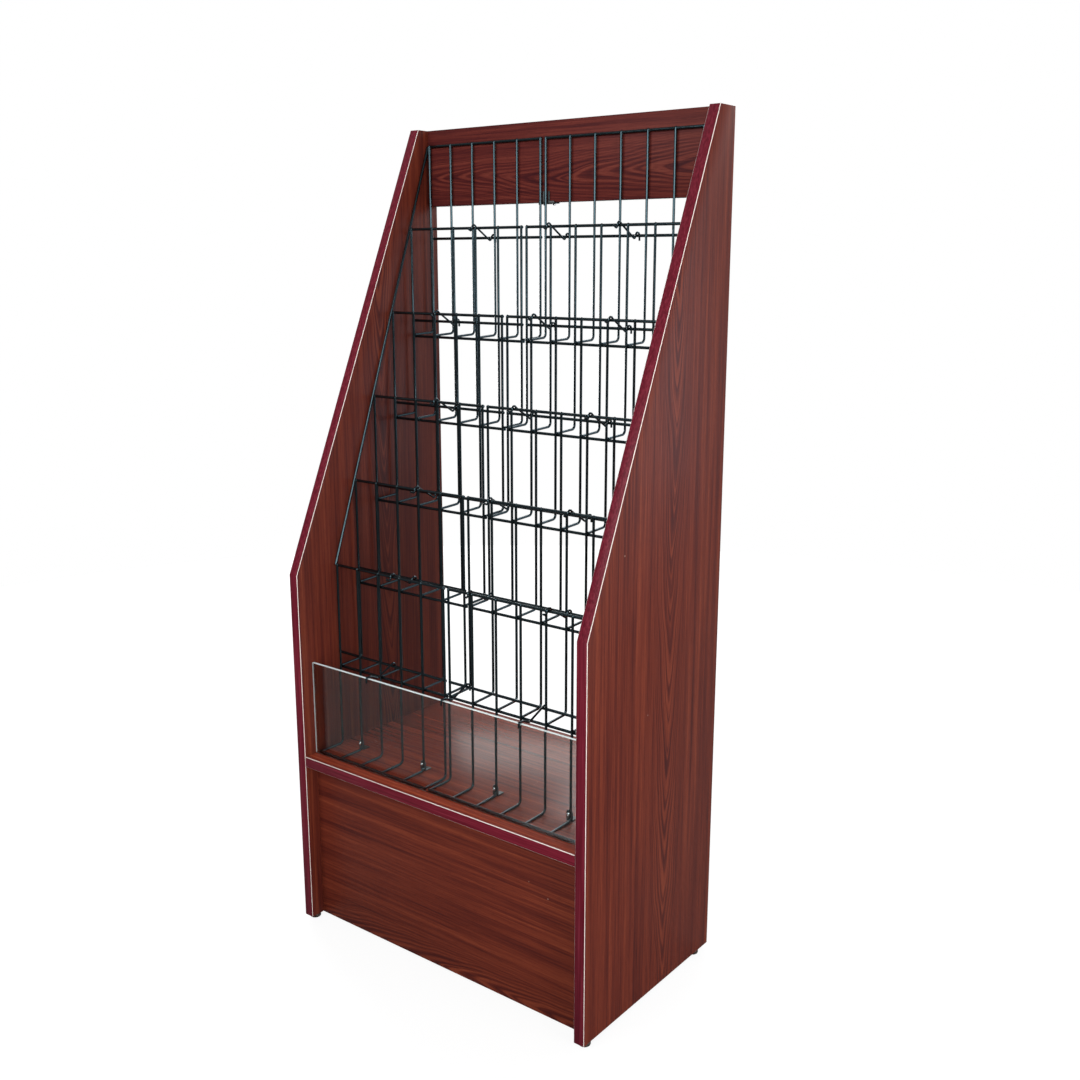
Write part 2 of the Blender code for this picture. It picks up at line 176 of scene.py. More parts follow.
def add(tree, kind, props=None, **values):
    """Adds a node, sets its properties, and fills or links its inputs by name or number."""
    node = tree.nodes.new(kind)
    for key, value in (props or {}).items():
        setattr(node, key, value)
    for key, value in values.items():
        name = key.replace("_", " ")
        socket = node.inputs[int(key[1:])] if key[0] == "i" and key[1:].isdigit() else node.inputs[name]
        if isinstance(value, bpy.types.NodeSocket):
            tree.links.new(value, socket)
        else:
            socket.default_value = value
    return node


def math_node(tree, operation, first, second=0.0):
    """Result of one sum; each term is a number or a socket."""
    return add(tree, "ShaderNodeMath", {"operation": operation}, i0=first, i1=second).outputs[0]


def scaled_place(tree, scale):
    """Object coordinates stretched by a scale on each axis."""
    place = add(tree, "ShaderNodeTexCoord").outputs["Object"]
    return add(tree, "ShaderNodeMapping", None, Vector=place, Scale=scale).outputs["Vector"]


def noise(tree, vector, scale=1.0, detail=3.0, roughness=0.55, distortion=0.0):
    """Noise between 0 and 1."""
    node = add(tree, "ShaderNodeTexNoise", None, Vector=vector, Scale=scale, Detail=detail,
               Roughness=roughness, Distortion=distortion)
    return node.outputs["Fac"]


def ramp(tree, factor, stops):
    """Colour ramp from (position, colour) stops."""
    node = add(tree, "ShaderNodeValToRGB", None, Fac=factor)
    elements = node.color_ramp.elements
    while len(elements) < len(stops):
        elements.new(0.5)
    for element, (position, colour) in zip(elements, stops):
        element.position = position
        element.color = (*colour, 1.0)
    return node.outputs["Color"]


def fade(tree, value, low, high, start=0.0, end=1.0):
    """A value remapped from low..high to start..end, clamped."""
    node = add(tree, "ShaderNodeMapRange", None, Value=value, From_Min=low, From_Max=high,
               To_Min=start, To_Max=end)
    return node.outputs["Result"]


def mix_colour(tree, factor, first, second, blend="MIX"):
    """Two colours blended; each is a triple or a socket."""
    node = add(tree, "ShaderNodeMix", {"data_type": "RGBA", "blend_type": blend})
    for index, value in ((0, factor), (6, first), (7, second)):
        if isinstance(value, bpy.types.NodeSocket):
            tree.links.new(value, node.inputs[index])
        else:
            node.inputs[index].default_value = value if index == 0 else (*value, 1.0)
    return node.outputs[2]


def mix_value(tree, factor, first, second):
    """first where the factor is 0 and second where it is 1."""
    node = add(tree, "ShaderNodeMix", {"data_type": "FLOAT"}, i0=factor, i2=first, i3=second)
    return node.outputs[0]


def bump(tree, shader, height, distance, strength):
    """Fine relief on a shader, `distance` high."""
    node = add(tree, "ShaderNodeBump", None, Height=height, Distance=distance, Strength=strength)
    tree.links.new(node.outputs["Normal"], shader.inputs["Normal"])


AXES = {"X": 0, "Y": 1, "Z": 2}


def grain_vector(tree, along, across, along_scale, across_scale):
    """Coordinates for streaks: stretched along the grain."""
    scale = [0.0, 0.0, 0.0]
    scale[AXES[along]] = along_scale
    scale[AXES[across]] = across_scale
    depth = ({"X", "Y", "Z"} - {along, across}).pop()
    scale[AXES[depth]] = DEPTH_GRAIN
    return scaled_place(tree, scale)


def laminate(name, along, across, centre, roughness, level, tint_and_painted_light=(1.0, 1.0, 1.0), marks=()):
    """Printed mahogany laminate: cathedral figure, streaks, pores, and small pale marks.

    The figure is a row of nested arches along `along`, centred at `centre` on `across`; it
    gives way to long streaks further out. A mark is a point and a radius.
    """
    material, tree, shader = new_material(name)
    place = add(tree, "ShaderNodeTexCoord").outputs["Object"]
    split = add(tree, "ShaderNodeSeparateXYZ", None, Vector=place)
    lengthwise, sideways = split.outputs[along], split.outputs[across]
    wander = noise(tree, grain_vector(tree, along, across, 5.0, 9.0), 1.0, 2.0)
    wander = math_node(tree, "MULTIPLY", math_node(tree, "SUBTRACT", wander, 0.5), ARCH_WANDER)
    offset = math_node(tree, "ADD", math_node(tree, "SUBTRACT", sideways, centre), wander)
    spread = math_node(tree, "ABSOLUTE", offset)
    arch = math_node(tree, "MULTIPLY", math_node(tree, "POWER", spread, ARCH_POWER), ARCH_CURVE)
    arch = math_node(tree, "SUBTRACT", lengthwise, arch)
    uneven = add(tree, "ShaderNodeTexNoise", {"noise_dimensions": "1D"}, W=arch, Scale=11.0,
                 Detail=3.0, Roughness=0.6).outputs["Fac"]
    phase = math_node(tree, "ADD", math_node(tree, "MULTIPLY", arch, RING_RATE),
                      math_node(tree, "MULTIPLY", uneven, RING_UNEVENNESS))
    waves = fade(tree, math_node(tree, "SINE", phase), -1.0, 1.0, 0.30, 0.66)
    rings = mix_value(tree, 0.30, waves, uneven)
    streaks = noise(tree, grain_vector(tree, along, across, 2.1, 130.0), 1.0, 5.0, 0.76)
    fine = noise(tree, grain_vector(tree, along, across, 9.0, 520.0), 1.0, 3.0, 0.6)
    pores = noise(tree, grain_vector(tree, along, across, 90.0, 1500.0), 1.0, 1.0, 0.5)
    centring = fade(tree, spread, ARCH_NEAR, ARCH_FAR, 1.0, 0.12)
    figure = mix_value(tree, centring, streaks, rings)
    figure = mix_value(tree, 0.26, figure, fine)
    colour = ramp(tree, fade(tree, figure, 0.37, 0.65), [
        (0.0, (0.058, 0.0095, 0.0080)),
        (0.30, (0.104, 0.0165, 0.0100)),
        (0.62, (0.156, 0.0275, 0.0140)),
        (1.0, (0.225, 0.0460, 0.0210)),
    ])
    # The tint multiplies the colour: on the back board it is the board's own bluer tone, and on the
    # shelf it is painted light that brightens the top.
    colour = mix_colour(tree, 1.0, colour, tint_and_painted_light, "MULTIPLY")
    pore_shade = fade(tree, pores, 0.58, 0.72, 0.0, 0.40)
    colour = mix_colour(tree, pore_shade, colour, PORE_COLOUR)
    for spot, radius in marks:
        distance = add(tree, "ShaderNodeVectorMath", {"operation": "DISTANCE"}, i0=place, i1=spot)
        cover = fade(tree, distance.outputs["Value"], radius, 0.4 * radius, 0.0, 0.55)
        colour = mix_colour(tree, cover, colour, MARK_COLOUR)
    tree.links.new(colour, shader.inputs["Base Color"])
    smudge = noise(tree, scaled_place(tree, (5.0, 5.0, 4.0)), 1.0, 4.0, 0.6)
    polish = fade(tree, smudge, 0.3, 0.7, roughness - 0.03, roughness + 0.05)
    rough = math_node(tree, "ADD", polish, math_node(tree, "MULTIPLY", pores, 0.06))
    tree.links.new(rough, shader.inputs["Roughness"])
    shader.inputs["Specular IOR Level"].default_value = level
    height = math_node(tree, "SUBTRACT", math_node(tree, "MULTIPLY", fine, 0.4), pore_shade)
    bump(tree, shader, height, 0.00008, 0.6)
    return material


def edging_material(name, along):
    """Maroon plastic edge strip with faint printed streaks along its length."""
    material, tree, shader = new_material(name)
    scale = [420.0, 420.0, 420.0]
    scale[AXES[along]] = 9.0
    streaks = noise(tree, scaled_place(tree, scale), 1.0, 3.0, 0.6)
    colour = ramp(tree, fade(tree, streaks, 0.3, 0.7), [
        (0.0, (0.088, 0.0052, 0.0125)),
        (0.5, (0.140, 0.0095, 0.0210)),
        (1.0, (0.205, 0.0210, 0.0380)),
    ])
    tree.links.new(colour, shader.inputs["Base Color"])
    scuff = noise(tree, scaled_place(tree, (60.0, 60.0, 60.0)), 1.0, 5.0, 0.65)
    tree.links.new(fade(tree, scuff, 0.35, 0.75, 0.30, 0.46), shader.inputs["Roughness"])
    shader.inputs["Specular IOR Level"].default_value = 0.12
    bump(tree, shader, streaks, 0.00005, 0.6)
    return material


def arris_material():
    """Cream core of the edge strip where its arrises are trimmed."""
    material, tree, shader = new_material("edging_arris")
    dirt = noise(tree, scaled_place(tree, (90.0, 90.0, 90.0)), 1.0, 5.0, 0.7)
    colour = ramp(tree, fade(tree, dirt, 0.35, 0.75), [
        (0.0, (0.90, 0.84, 0.77)),
        (0.8, (0.80, 0.68, 0.61)),
        (1.0, (0.45, 0.22, 0.20)),
    ])
    tree.links.new(colour, shader.inputs["Base Color"])
    shader.inputs["Roughness"].default_value = 0.5
    return material


def chipboard_material():
    """Raw chipboard at the bottom edges of the boards."""
    material, tree, shader = new_material("chipboard")
    flakes = add(tree, "ShaderNodeTexVoronoi", None, Vector=scaled_place(tree, (420.0, 420.0, 900.0)),
                 Scale=1.0)
    grit = noise(tree, scaled_place(tree, (1200.0, 1200.0, 1200.0)), 1.0, 2.0)
    tone = math_node(tree, "ADD", math_node(tree, "MULTIPLY", flakes.outputs["Distance"], 0.6),
                     math_node(tree, "MULTIPLY", grit, 0.5))
    colour = ramp(tree, tone, [
        (0.15, (0.20, 0.12, 0.065)),
        (0.5, (0.40, 0.27, 0.16)),
        (0.9, (0.56, 0.41, 0.26)),
    ])
    tree.links.new(colour, shader.inputs["Base Color"])
    shader.inputs["Roughness"].default_value = 0.85
    bump(tree, shader, tone, 0.0004, 0.8)
    return material


def wire_material():
    """Black gloss powder coat with a little dust; a painted cool tint colours its highlights."""
    material, tree, shader = new_material("wire_coat")
    dust = noise(tree, scaled_place(tree, (35.0, 35.0, 35.0)), 1.0, 4.0, 0.6)
    colour = ramp(tree, fade(tree, dust, 0.35, 0.8), [
        (0.0, (0.0010, 0.0014, 0.0016)),
        (1.0, (0.0030, 0.0040, 0.0044)),
    ])
    tree.links.new(colour, shader.inputs["Base Color"])
    tree.links.new(fade(tree, dust, 0.3, 0.8, 0.13, 0.22), shader.inputs["Roughness"])
    shader.inputs["Specular IOR Level"].default_value = 0.80
    # Painted highlight colour: the specular tint gives the coat's reflections the cool cyan of the
    # highlights.
    shader.inputs["Specular Tint"].default_value = (0.55, 0.86, 1.0, 1.0)
    swell = noise(tree, scaled_place(tree, (150.0, 150.0, 150.0)), 1.0, 1.0)
    bump(tree, shader, swell, 0.00006, 0.15)
    return material


def clip_material():
    """Black moulded plastic."""
    material, tree, shader = new_material("clip_plastic")
    texture = noise(tree, scaled_place(tree, (1500.0, 1500.0, 1500.0)), 1.0, 2.0)
    colour = ramp(tree, texture, [(0.3, (0.006, 0.007, 0.007)), (0.8, (0.014, 0.015, 0.015))])
    tree.links.new(colour, shader.inputs["Base Color"])
    tree.links.new(fade(tree, texture, 0.3, 0.7, 0.28, 0.42), shader.inputs["Roughness"])
    bump(tree, shader, texture, 0.00005, 0.6)
    return material


def glide_material():
    """Dark plastic of the glides, scuffed."""
    material, tree, shader = new_material("glide_plastic")
    scuff = noise(tree, scaled_place(tree, (300.0, 300.0, 300.0)), 1.0, 4.0, 0.65)
    colour = ramp(tree, fade(tree, scuff, 0.35, 0.8), [
        (0.0, (0.020, 0.012, 0.010)),
        (1.0, (0.075, 0.055, 0.045)),
    ])
    tree.links.new(colour, shader.inputs["Base Color"])
    tree.links.new(fade(tree, scuff, 0.3, 0.8, 0.40, 0.65), shader.inputs["Roughness"])
    bump(tree, shader, scuff, 0.00015, 0.5)
    return material


def screw_material():
    """Bright zinc plate with turning marks."""
    material, tree, shader = new_material("screw_zinc")
    marks = noise(tree, scaled_place(tree, (2500.0, 2500.0, 2500.0)), 1.0, 2.0)
    colour = ramp(tree, marks, [(0.3, (0.62, 0.64, 0.66)), (0.8, (0.82, 0.83, 0.84))])
    tree.links.new(colour, shader.inputs["Base Color"])
    shader.inputs["Metallic"].default_value = 1.0
    tree.links.new(fade(tree, marks, 0.3, 0.8, 0.14, 0.30), shader.inputs["Roughness"])
    return material


def glass_material():
    """Clear float glass with faint wipe marks."""
    material, tree, shader = new_material("glass_clear")
    wipe = noise(tree, scaled_place(tree, (9.0, 9.0, 30.0)), 1.0, 4.0, 0.65, 0.6)
    shader.inputs["Base Color"].default_value = (0.93, 0.97, 0.96, 1.0)
    shader.inputs["Transmission Weight"].default_value = 1.0
    shader.inputs["IOR"].default_value = 1.5
    tree.links.new(fade(tree, wipe, 0.45, 0.85, 0.0, 0.015), shader.inputs["Roughness"])
    return material


def glass_foot_painted_shade_material():
    """Lower edge of the glass where it stands on the shelf, painted dark and dull as painted shade."""
    material, tree, shader = new_material("glass_foot_painted_shade")
    shade_and_grime = noise(tree, scaled_place(tree, (700.0, 700.0, 700.0)), 1.0, 3.0)
    # Painted shade: the dark foot colour stands for the shade under the glass and the dark shelf seen
    # in its lower edge; the noise only mottles it.
    colour = ramp(tree, shade_and_grime, [(0.3, (0.010, 0.008, 0.007)), (0.7, (0.030, 0.022, 0.018))])
    tree.links.new(colour, shader.inputs["Base Color"])
    shader.inputs["Roughness"].default_value = 0.7
    return material


def glass_edge_material():
    """Ground edge of the glass, which glows pale."""
    material, tree, shader = new_material("glass_edge")
    grind = noise(tree, scaled_place(tree, (1500.0, 1500.0, 1500.0)), 1.0, 2.0)
    colour = ramp(tree, grind, [(0.3, (0.72, 0.82, 0.82)), (0.7, (0.88, 0.95, 0.95))])
    tree.links.new(colour, shader.inputs["Base Color"])
    shader.inputs["Roughness"].default_value = 0.35
    bump(tree, shader, grind, 0.00005, 0.6)
    return material


# ---------------------------------------------------------------- mesh helpers

def slants(face, axis):
    """True for the face of a trimmed arris: it looks partly along the axis (0, 1 or 2)."""
    return 0.5 < abs(face.normal[axis]) < 0.9


def make_piece(name, body_mesh, materials, replaces, body="root"):
    """Turns a bmesh into a piece that rides on a body and stands for CAD nodes."""
    bmesh.ops.recalc_face_normals(body_mesh, faces=body_mesh.faces)
    mesh = bpy.data.meshes.new(name)
    body_mesh.to_mesh(mesh)
    body_mesh.free()
    for material in materials:
        mesh.materials.append(material)
    mesh.shade_smooth()
    mesh.set_sharp_from_angle(angle=math.radians(SHARP_ANGLE))
    piece = bpy.data.objects.new(name, mesh)
    bpy.context.scene.collection.objects.link(piece)
    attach(piece, body)
    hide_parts(*replaces)


def node_mesh(node):
    """A bmesh of a CAD node with its flat faces merged back from triangles."""
    body_mesh = bmesh.new()
    body_mesh.from_mesh(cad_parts[node].data)
    bmesh.ops.remove_doubles(body_mesh, verts=body_mesh.verts, dist=1e-5)
    bmesh.ops.dissolve_limit(body_mesh, angle_limit=math.radians(1), verts=body_mesh.verts,
                             edges=body_mesh.edges)
    return body_mesh


def soften(body_mesh, width, segments=2, angle=30):
    """Bevels every edge sharper than an angle."""
    edges = [edge for edge in body_mesh.edges
             if len(edge.link_faces) == 2 and edge.calc_face_angle() > math.radians(angle)]
    bmesh.ops.bevel(body_mesh, geom=edges, offset=width, segments=segments, profile=0.5,
                    affect="EDGES", clamp_overlap=True)


def skin(body_mesh, rings):
    """Joins rings of equal size into a closed tube."""
    count = len(rings[0])
    for lower, upper in zip(rings, rings[1:]):
        for step in range(count):
            after = (step + 1) % count
            body_mesh.faces.new((lower[step], lower[after], upper[after], upper[step]))
    body_mesh.faces.new(rings[0][::-1])
    body_mesh.faces.new(rings[-1])


def add_tube(body_mesh, path, radius, sides):
    """Adds a round tube along a path that lies in one plane, with softly rounded ends."""
    points = [Vector(point) for point in path]
    runs = [(after - before).normalized() for before, after in zip(points, points[1:])]
    across = next((a.cross(b) for a, b in zip(runs, runs[1:]) if a.cross(b).length > 1e-4), None)
    if across is None:
        across = runs[0].orthogonal()
    across.normalize()
    soft = 0.35 * radius
    stations = [(points[0], runs[0], radius - soft)]
    stations.append((points[0] + runs[0] * soft, runs[0], radius))
    for index in range(1, len(points) - 1):
        along = (runs[index - 1] + runs[index]).normalized()
        stations.append((points[index], along, radius))
    stations.append((points[-1] - runs[-1] * soft, runs[-1], radius))
    stations.append((points[-1], runs[-1], radius - soft))
    rings = []
    for point, along, reach in stations:
        side = along.cross(across)
        ring = []
        for step in range(sides):
            turn = 2 * math.pi * (step + 0.5) / sides
            offset = across * math.cos(turn) + side * math.sin(turn)
            ring.append(body_mesh.verts.new(point + offset * reach))
        rings.append(ring)
    skin(body_mesh, rings)


def arc_corner(before, tip, after, radius, steps):
    """Points of the arc that rounds one corner of a path."""
    before, tip, after = Vector(before), Vector(tip), Vector(after)
    into, out = (tip - before).normalized(), (after - tip).normalized()
    half = into.angle(out) / 2
    setback = radius * math.tan(half)
    centre = tip + (out - into).normalized() * (radius / math.cos(half))
    start = tip - into * setback - centre
    normal = into.cross(out).normalized()
    points = []
    for step in range(steps + 1):
        turn = 2 * half * step / steps
        points.append(centre + start * math.cos(turn) + normal.cross(start) * math.sin(turn))
    return points


def rounded_path(corners, steps):
    """A path from (point, radius) corners; a corner with no radius is kept as it is."""
    path = []
    for index, (point, radius) in enumerate(corners):
        if radius and 0 < index < len(corners) - 1:
            path += arc_corner(corners[index - 1][0], point, corners[index + 1][0], radius, steps)
        else:
            path.append(Vector(point))
    return path


def mesh_object(name, body_mesh):
    """An object in the scene, made from a bmesh that is used up."""
    bmesh.ops.recalc_face_normals(body_mesh, faces=body_mesh.faces)
    mesh = bpy.data.meshes.new(name)
    body_mesh.to_mesh(mesh)
    body_mesh.free()
    thing = bpy.data.objects.new(name, mesh)
    bpy.context.scene.collection.objects.link(thing)
    return thing


def joined(first, others, operation="UNION"):
    """A bmesh of one closed body cut by, or joined to, others; the inputs are removed."""
    base = mesh_object("base", first)
    helpers = [mesh_object("helper", other) for other in others]
    for helper in helpers:
        modifier = base.modifiers.new("join", "BOOLEAN")
        modifier.operation = operation
        modifier.solver = "EXACT"
        modifier.object = helper
    graph = bpy.context.evaluated_depsgraph_get()
    result = bmesh.new()
    result.from_mesh(base.evaluated_get(graph).to_mesh())
    for thing in [base, *helpers]:
        bpy.data.objects.remove(thing, do_unlink=True)
    return result


# ---------------------------------------------------------------- boards

def boards(looks):
    """Laminated boards with slightly softened edges; bottom edges are raw chipboard."""
    panels = {
        "side_panel_left": "side", "side_panel_right": "side", "base_shelf": "shelf",
        "kick_panel": "kick", "back_board": "back",
    }
    raw_underneath = {"side_panel_left", "side_panel_right", "kick_panel"}
    for node, look in panels.items():
        body_mesh = node_mesh(node)
        soften(body_mesh, BOARD_EDGE)
        if node in raw_underneath:
            for face in body_mesh.faces:
                if face.normal.z < -0.99:
                    face.material_index = 1
        make_piece(f"{node}_board", body_mesh, [looks[look], looks["chipboard"]],
                   replaces=[node])


def edgings(looks):
    """Edge strips whose trimmed arrises show the cream core."""
    for side in ("left", "right"):
        node = f"side_edging_{side}"
        body_mesh = node_mesh(node)
        for face in body_mesh.faces:
            if slants(face, 0):
                face.material_index = 1
        soften(body_mesh, STRIP_EDGE, 1)
        make_piece(f"{node}_strip", body_mesh, [looks["edging_upright"], looks["arris"]],
                   replaces=[node])
    body_mesh = node_mesh("shelf_edging")
    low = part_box("shelf_edging")[0]
    front = [edge for edge in body_mesh.edges
             if all(abs(vert.co.y - low.y) < 1e-5 for vert in edge.verts)
             and abs(edge.verts[0].co.z - edge.verts[1].co.z) < 1e-5]
    bmesh.ops.bevel(body_mesh, geom=front, offset=STRIP_ARRIS, segments=1, affect="EDGES")
    body_mesh.normal_update()
    for face in body_mesh.faces:
        if slants(face, 2):
            face.material_index = 1
    soften(body_mesh, STRIP_EDGE, 1)
    make_piece("shelf_edging_strip", body_mesh, [looks["edging_level"], looks["arris"]],
               replaces=["shelf_edging"])


def glass_lip(looks):
    """Glass sheet with ground, softened edges."""
    body_mesh = node_mesh("glass_front")
    soften(body_mesh, GLASS_EDGE, 1)
    body_mesh.normal_update()
    for face in body_mesh.faces:
        if abs(face.normal.y) < 0.9:
            # Faces that look down get the dark foot, which is painted shade.
            face.material_index = 1 if face.normal.z > -0.1 else 2
    materials = [looks["glass"], looks["glass_edge"], looks["glass_foot_painted_shade"]]
    make_piece("glass_sheet", body_mesh, materials, replaces=["glass_front"])


# ---------------------------------------------------------------- wire

def unit_wires(unit):
    """X of each upright wire of a unit."""
    low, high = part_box(f"wire_panel_{unit}_0")
    first, last = low.x + RAIL_OVERHANG, high.x - RAIL_OVERHANG
    count = WIRE_COUNT[unit]
    return [first + (last - first) * index / (count - 1) for index in range(count)]


def wire_plane(tier):
    """Y of the centres of a grille's upright wires."""
    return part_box(f"wire_panel_left_{tier}")[1].y - RAIL_REACH - RAIL_OFFSET


def top_rail(tier):
    """Z of the centre of a grille's top rail."""
    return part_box(f"wire_panel_left_{tier}")[1].z - RAIL_REACH


def foot_rail(tier):
    """Y and Z of the centre of the rail under a grille's foot."""
    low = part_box(f"wire_panel_left_{tier}")[0]
    if tier == TIERS - 1:
        return low.y + RAIL_REACH, SHELF_TOP + GAP + RAIL_R
    return low.y + RAIL_REACH, low.z + RAIL_REACH


def weld_beads(wires, rails):
    """Small squashed beads where upright wires are welded to the rails."""
    body_mesh = bmesh.new()
    for x in wires:
        for y, z in rails:
            place = Matrix.Translation((x, y - RAIL_OFFSET / 2, z))
            shape = place @ Matrix.Diagonal(WELD_BEAD)
            bmesh.ops.create_icosphere(body_mesh, subdivisions=2, radius=1.0, matrix=shape)
    return body_mesh


def wire_grilles(looks):
    """Round wire grilles, welded into one body each."""
    for unit in WIRE_COUNT:
        wires = unit_wires(unit)
        for tier in range(TIERS):
            plane, top = wire_plane(tier), top_rail(tier)
            rail_y, rail_z = foot_rail(tier)
            uprights = bmesh.new()
            for x in wires:
                if tier == TIERS - 1:
                    bend_z = SHELF_TOP + GAP + WIRE_R
                    foot = (x, rail_y, bend_z)
                else:
                    bend_z = top - FOOT_BEND_DROP
                    foot = (x, rail_y - RAIL_R / 2, rail_z + RAIL_R + WIRE_R - RAIL_OFFSET)
                tip, bend = (x, plane, top + WIRE_TIP), (x, plane, bend_z)
                corners = [(tip, 0), (bend, BEND_RADIUS), (foot, 0)]
                add_tube(uprights, rounded_path(corners, BEND_STEPS), WIRE_R, WIRE_SIDES)
            rails = bmesh.new()
            behind = plane + RAIL_OFFSET
            upper_rails = [(behind, top), (behind, top - MID_RAIL_DROP)]
            for y, z in upper_rails + [(rail_y, rail_z)]:
                ends = [(wires[0] - RAIL_OVERHANG, y, z), (wires[-1] + RAIL_OVERHANG, y, z)]
                add_tube(rails, ends, RAIL_R, RAIL_SIDES)
            beads = weld_beads(wires, upper_rails)
            node = f"wire_panel_{unit}_{tier}"
            make_piece(f"wire_grille_{unit}_{tier}", joined(uprights, [rails, beads]),
                       [looks["wire"]], replaces=[node])


def braces(looks):
    """Slanting wires that tie the ends of the top rails together."""
    for side in ("left", "right"):
        low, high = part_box(f"brace_{side}")
        x = (low.x + high.x) / 2
        ends = [(x, wire_plane(tier) + RAIL_OFFSET, top_rail(tier)) for tier in (0, TIERS - 1)]
        body_mesh = bmesh.new()
        add_tube(body_mesh, ends, WIRE_R, WIRE_SIDES)
        make_piece(f"brace_wire_{side}", body_mesh, [looks["wire"]],
                   replaces=[f"brace_{side}"])


def hook(y, z, start, end):
    """Points of an arc over a rail at (y, z); the angles are in degrees from the front."""
    points = []
    for step in range(HOOK_STEPS + 1):
        turn = math.radians(start + (end - start) * step / HOOK_STEPS)
        points.append((y - HOOK_R * math.cos(turn), z + HOOK_R * math.sin(turn)))
    return points


def hook_tail(y, z):
    """The short end that hangs down behind a hook over a rail at (y, z)."""
    return [((y + HOOK_R + HOOK_TAIL_SLACK, z - HOOK_TAIL_DROP), 0)]


def tier_divider_path(tier):
    """Y and Z of a divider that hangs on a grille's top rail and the middle rail behind it."""
    front_y, front_z = wire_plane(tier) + RAIL_OFFSET, top_rail(tier)
    rear_y = wire_plane(tier - 1) + RAIL_OFFSET
    rear_z = top_rail(tier - 1) - MID_RAIL_DROP
    tip = [((front_y - TIP_REACH, front_z - TIP_DROP), 0)]
    neck = [((front_y - NECK_REACH, front_z - NECK_DROP), NECK_BEND)]
    over = [(point, 0) for point in hook(front_y, front_z, -10, 150)]
    dip = [((rear_y - DIP_REACH, rear_z - DIP_DROP), DIP_BEND)]
    rear = [(point, 0) for point in hook(rear_y, rear_z, 10, 180)]
    return tip + neck + over + dip + rear + hook_tail(rear_y, rear_z)


def glass_divider_path():
    """Y and Z of a divider that hangs on the lowest middle rail and on the glass."""
    rear_y = wire_plane(TIERS - 1) + RAIL_OFFSET
    rear_z = top_rail(TIERS - 1) - MID_RAIL_DROP
    glass_low, glass_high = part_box("glass_front")
    front_leg = glass_low.y - GAP - DIVIDER_R
    rear_leg = glass_high.y + GAP + DIVIDER_R
    over = glass_high.z + GAP + DIVIDER_R
    rear = [(point, 0) for point in hook(rear_y, rear_z, 180, 60)]
    dip = [((rear_leg + GLASS_DIP_REACH, over - GLASS_DIP_DROP), GLASS_DIP_BEND)]
    rear_lip = [((rear_leg + GLASS_REAR_SHIFT, over), GLASS_REAR_BEND)]
    front_lip = [((front_leg - GLASS_FRONT_SHIFT, over + GLASS_FRONT_RISE), GLASS_FRONT_BEND)]
    tail = [((front_leg - GLASS_TAIL_SHIFT, over - GLASS_TAIL_DROP), 0)]
    return hook_tail(rear_y, rear_z) + rear + dip + rear_lip + front_lip + tail


def dividers(looks):
    """Loose bent-wire dividers, each on its own sliding body."""
    for tier in range(1, TIERS + 1):
        flat = glass_divider_path() if tier == TIERS else tier_divider_path(tier)
        for column in range(DIVIDERS_IN_A_TIER):
            node = f"divider_{tier}_{column}"
            low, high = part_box(node)
            x = (low.x + high.x) / 2
            corners = [((x, y, z), radius) for (y, z), radius in flat]
            body_mesh = bmesh.new()
            add_tube(body_mesh, rounded_path(corners, DIVIDER_STEPS), DIVIDER_R, DIVIDER_SIDES)
            make_piece(f"divider_wire_{tier}_{column}", body_mesh, [looks["wire"]],
                       replaces=[node], body=node)


# ---------------------------------------------------------------- small parts

def clips(looks):
    """Moulded clips with softened edges."""
    for node in [f"shelf_clip_{number}" for number in range(1, 5)] + ["top_clip"]:
        body_mesh = node_mesh(node)
        soften(body_mesh, CLIP_EDGE, angle=40)
        make_piece(f"{node}_moulding", body_mesh, [looks["clip"]], replaces=[node])


def screw_head(looks, node, up):
    """Screw with a domed head and a cross recess; `up` is the way the head faces."""
    low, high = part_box(node)
    centre = (low + high) / 2
    axis = max(range(3), key=lambda index: abs(up[index]))
    face = high[axis] if up[axis] > 0 else low[axis]
    radius = max((high - low)[index] for index in range(3) if index != axis) / 2
    dome = bmesh.new()
    rings = []
    profile = [(0.5, high[axis] - low[axis]), (0.5, SCREW_NECK), (1.0, SCREW_NECK),
               (1.0, 0.0012), (0.93, 0.0006), (0.75, 0.0002), (0.45, 0.0)]
    turn_to_axis = Vector(up).to_track_quat("Z", "Y").to_matrix()
    base = Vector(centre)
    base[axis] = face
    for share, depth in profile:
        ring = []
        for step in range(SCREW_SIDES):
            turn = 2 * math.pi * step / SCREW_SIDES
            local = Vector((share * radius * math.cos(turn), share * radius * math.sin(turn), -depth))
            ring.append(dome.verts.new(base + turn_to_axis @ local))
        rings.append(ring)
    skin(dome, rings)
    recess = []
    for length, width in ((RECESS_LENGTH, RECESS_WIDTH), (RECESS_WIDTH, RECESS_LENGTH)):
        bar = bmesh.new()
        bmesh.ops.create_cube(bar, size=2.0)
        size = Matrix.Diagonal((length * radius, width * radius, RECESS_DEPTH, 1.0))
        bmesh.ops.transform(bar, verts=bar.verts, matrix=size)
        spin = Matrix.Rotation(RECESS_TURN, 4, "Z")
        place = Matrix.Translation(base) @ turn_to_axis.to_4x4() @ spin
        bmesh.ops.transform(bar, verts=bar.verts, matrix=place)
        recess.append(bar)
    make_piece(f"{node}_head", joined(dome, recess, "DIFFERENCE"), [looks["screw"]],
               replaces=[node])


def screws(looks):
    """Screws of the shelf clips face the front; those of the top clip face down."""
    for number in range(1, 5):
        screw_head(looks, f"shelf_clip_screw_{number}", (0.0, -1.0, 0.0))
    for number in (1, 2):
        screw_head(looks, f"top_clip_screw_{number}", (0.0, 0.0, -1.0))


